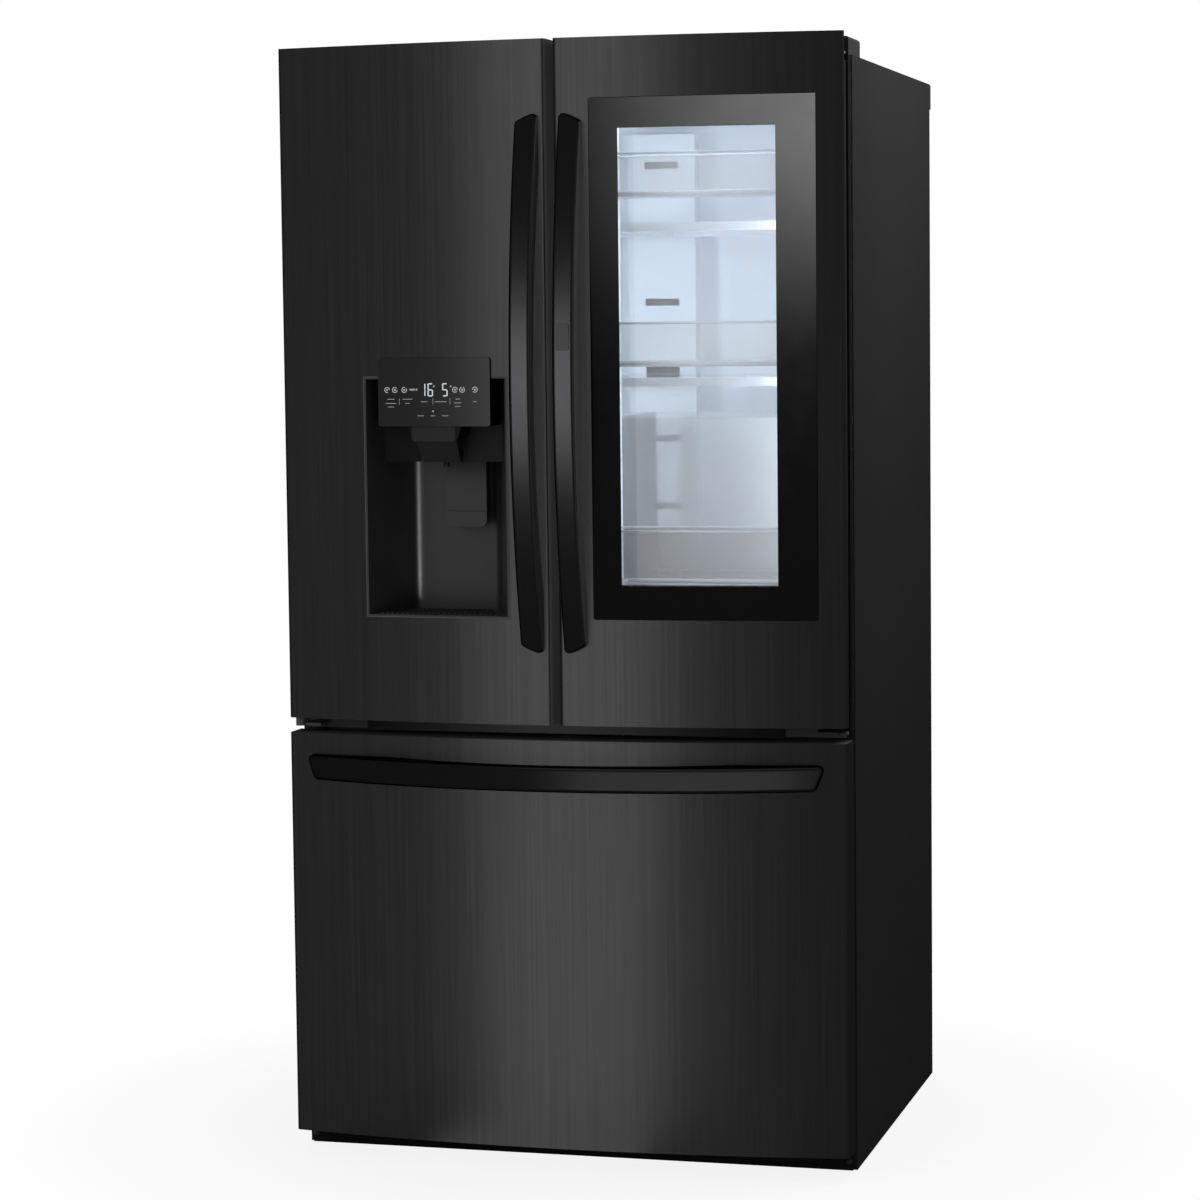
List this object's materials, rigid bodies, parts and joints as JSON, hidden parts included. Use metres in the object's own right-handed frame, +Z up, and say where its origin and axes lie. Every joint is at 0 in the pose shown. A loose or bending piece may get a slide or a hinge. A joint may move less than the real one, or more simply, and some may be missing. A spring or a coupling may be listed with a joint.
{
  "type": "french door refrigerator",
  "caption": "French door refrigerator with a bowed dark front, dispenser, door-in-door window and a bottom freezer drawer on a geared slide.",
  "frame": {"origin": "on the floor, at the middle of the overall box", "axes": "+X to the viewer's right, -Y to the front, +Z up"},
  "size_m": [0.908, 0.8999, 1.772],
  "materials": {
    "black_steel": "dark satin, vertical brushing",
    "handle_steel": "dark satin",
    "case_paint": "textured dark grey",
    "dark_plastic": "moulded black",
    "niche_plastic": "gloss black",
    "white_plastic": "white",
    "clear_plastic": "clear",
    "glass": "clear",
    "seal": "soft",
    "foam": "foam",
    "zinc_steel": "zinc plated",
    "machine_black": "black",
    "finned_metal": "mill",
    "lamp_lens": "lit diffuser",
    "roller_plastic": "hard plastic"
  },
  "bodies": {
    "cabinet": {"case_wrap": "case_paint", "insulation": "foam", "fridge_liner": "white_plastic", "freezer_liner": "white_plastic", "back_sheet": "case_paint", "cross_rails": "case_paint", "door_hinges": "machine_black", "hinge_covers": "dark_plastic", "rear_spacer": "dark_plastic", "base_cover": "dark_plastic", "base_frame": "zinc_steel", "machine_cover": "zinc_steel", "compressor": "machine_black", "condenser_unit": "finned_metal", "water_valve": "white_plastic", "evaporator": "finned_metal", "evaporator_cover": "white_plastic", "air_duct": "white_plastic", "lamp": "lamp_lens", "shelf_frames": "white_plastic", "shelf_panes": "glass", "fixed_rails": "zinc_steel"},
    "left_door": {"left_door_skin": "black_steel", "left_door_liner": "white_plastic", "left_door_caps": "dark_plastic", "left_door_gasket": "seal", "left_door_handle": "handle_steel", "left_door_bins": "clear_plastic", "dispenser_niche": "niche_plastic", "dispenser_panel": "niche_plastic", "dispenser_nozzle": "dark_plastic"},
    "dispenser_paddle": {"dispenser_paddle": "dark_plastic"},
    "mullion_flap": {"mullion_flap": "dark_plastic"},
    "right_inner_door": {"inner_door_frame": "white_plastic", "inner_door_gasket": "seal", "inner_door_bins": "clear_plastic"},
    "right_outer_door": {"right_door_skin": "black_steel", "right_door_core": "dark_plastic", "right_door_caps": "dark_plastic", "window_glass": "glass", "window_frame": "dark_plastic", "did_gasket": "seal", "right_door_handle": "handle_steel"},
    "handle_button": {"handle_button": "dark_plastic"},
    "freezer_drawer": {"drawer_skin": "black_steel", "drawer_liner": "white_plastic", "drawer_gasket": "seal", "drawer_handle": "handle_steel", "drawer_rails": "zinc_steel", "freezer_basket": "white_plastic"},
    "gear_bar": {"gear_bar": "zinc_steel"},
    "freezer_tray": {"freezer_tray": "clear_plastic"},
    "crisper_left": {"crisper_left": "clear_plastic"},
    "crisper_right": {"crisper_right": "clear_plastic"},
    "pantry_drawer": {"pantry_drawer": "clear_plastic"},
    "leg_left": {"leg_left": "zinc_steel"},
    "leg_right": {"leg_right": "zinc_steel"},
    "roller_left": {"roller_left": "roller_plastic"},
    "roller_right": {"roller_right": "roller_plastic"},
    "condenser_fan": {"condenser_fan": "dark_plastic"}
  },
  "joints": [
    {"name": "left_door_hinge", "type": "hinge", "parent": "cabinet", "child": "left_door", "pos_m": [-0.44, -0.337, 1.24], "axis": [0, 0, -1], "range_deg": [0, 110]},
    {"name": "right_door_hinge", "type": "hinge", "parent": "cabinet", "child": "right_inner_door", "pos_m": [0.44, -0.309, 1.24], "axis": [0, 0, 1], "range_deg": [0, 110]},
    {"name": "door_in_door_hinge", "type": "hinge", "parent": "right_inner_door", "child": "right_outer_door", "pos_m": [0.44, -0.337, 1.24], "axis": [0, 0, 1], "range_deg": [0, 100]},
    {"name": "mullion_flap_fold", "type": "hinge", "parent": "left_door", "child": "mullion_flap", "pos_m": [-0.024, -0.2915, 1.216], "axis": [0, 0, 1], "range_deg": [0, 80]},
    {"name": "paddle_press", "type": "hinge", "parent": "left_door", "child": "dispenser_paddle", "pos_m": [-0.171, -0.286, 1.131], "axis": [1, 0, 0], "range_deg": [0, 8], "stiffness_Nm_per_rad": 0.4},
    {"name": "button_press", "type": "slide", "parent": "right_outer_door", "child": "handle_button", "axis": [0, 1, 0], "range_m": [0, 0.003], "stiffness_N_per_m": 300},
    {"name": "freezer_slide", "type": "slide", "parent": "cabinet", "child": "freezer_drawer", "axis": [0, -1, 0], "range_m": [0, 0.4]},
    {"name": "gear_bar_roll", "type": "hinge", "parent": "freezer_drawer", "child": "gear_bar", "pos_m": [0, 0.158, 0.365], "axis": [1, 0, 0], "range_deg": [0, 958]},
    {"name": "freezer_tray_slide", "type": "slide", "parent": "cabinet", "child": "freezer_tray", "axis": [0, -1, 0], "range_m": [0, 0.05]},
    {"name": "crisper_left_slide", "type": "slide", "parent": "cabinet", "child": "crisper_left", "axis": [0, -1, 0], "range_m": [0, 0.08]},
    {"name": "crisper_right_slide", "type": "slide", "parent": "cabinet", "child": "crisper_right", "axis": [0, -1, 0], "range_m": [0, 0.08]},
    {"name": "pantry_slide", "type": "slide", "parent": "cabinet", "child": "pantry_drawer", "axis": [0, -1, 0], "range_m": [0, 0.1]},
    {"name": "leg_left_turn", "type": "hinge", "parent": "cabinet", "child": "leg_left", "pos_m": [-0.4268, -0.237, 0.02], "axis": [0, 0, 1], "range_deg": [0, 2160]},
    {"name": "leg_right_turn", "type": "hinge", "parent": "cabinet", "child": "leg_right", "pos_m": [0.4268, -0.237, 0.02], "axis": [0, 0, 1], "range_deg": [0, 2160]},
    {"name": "roller_left_roll", "type": "hinge", "parent": "cabinet", "child": "roller_left", "pos_m": [-0.4268, 0.366, 0.022], "axis": [1, 0, 0], "continuous": true},
    {"name": "roller_right_roll", "type": "hinge", "parent": "cabinet", "child": "roller_right", "pos_m": [0.4268, 0.366, 0.022], "axis": [1, 0, 0], "continuous": true},
    {"name": "condenser_fan_spin", "type": "hinge", "parent": "cabinet", "child": "condenser_fan", "pos_m": [0.06, 0.301, 0.12], "axis": [1, 0, 0], "continuous": true}
  ],
  "couplings": [
    {"joint": "gear_bar_roll", "follows": "freezer_slide", "rad_per_m": 41.667}
  ]
}
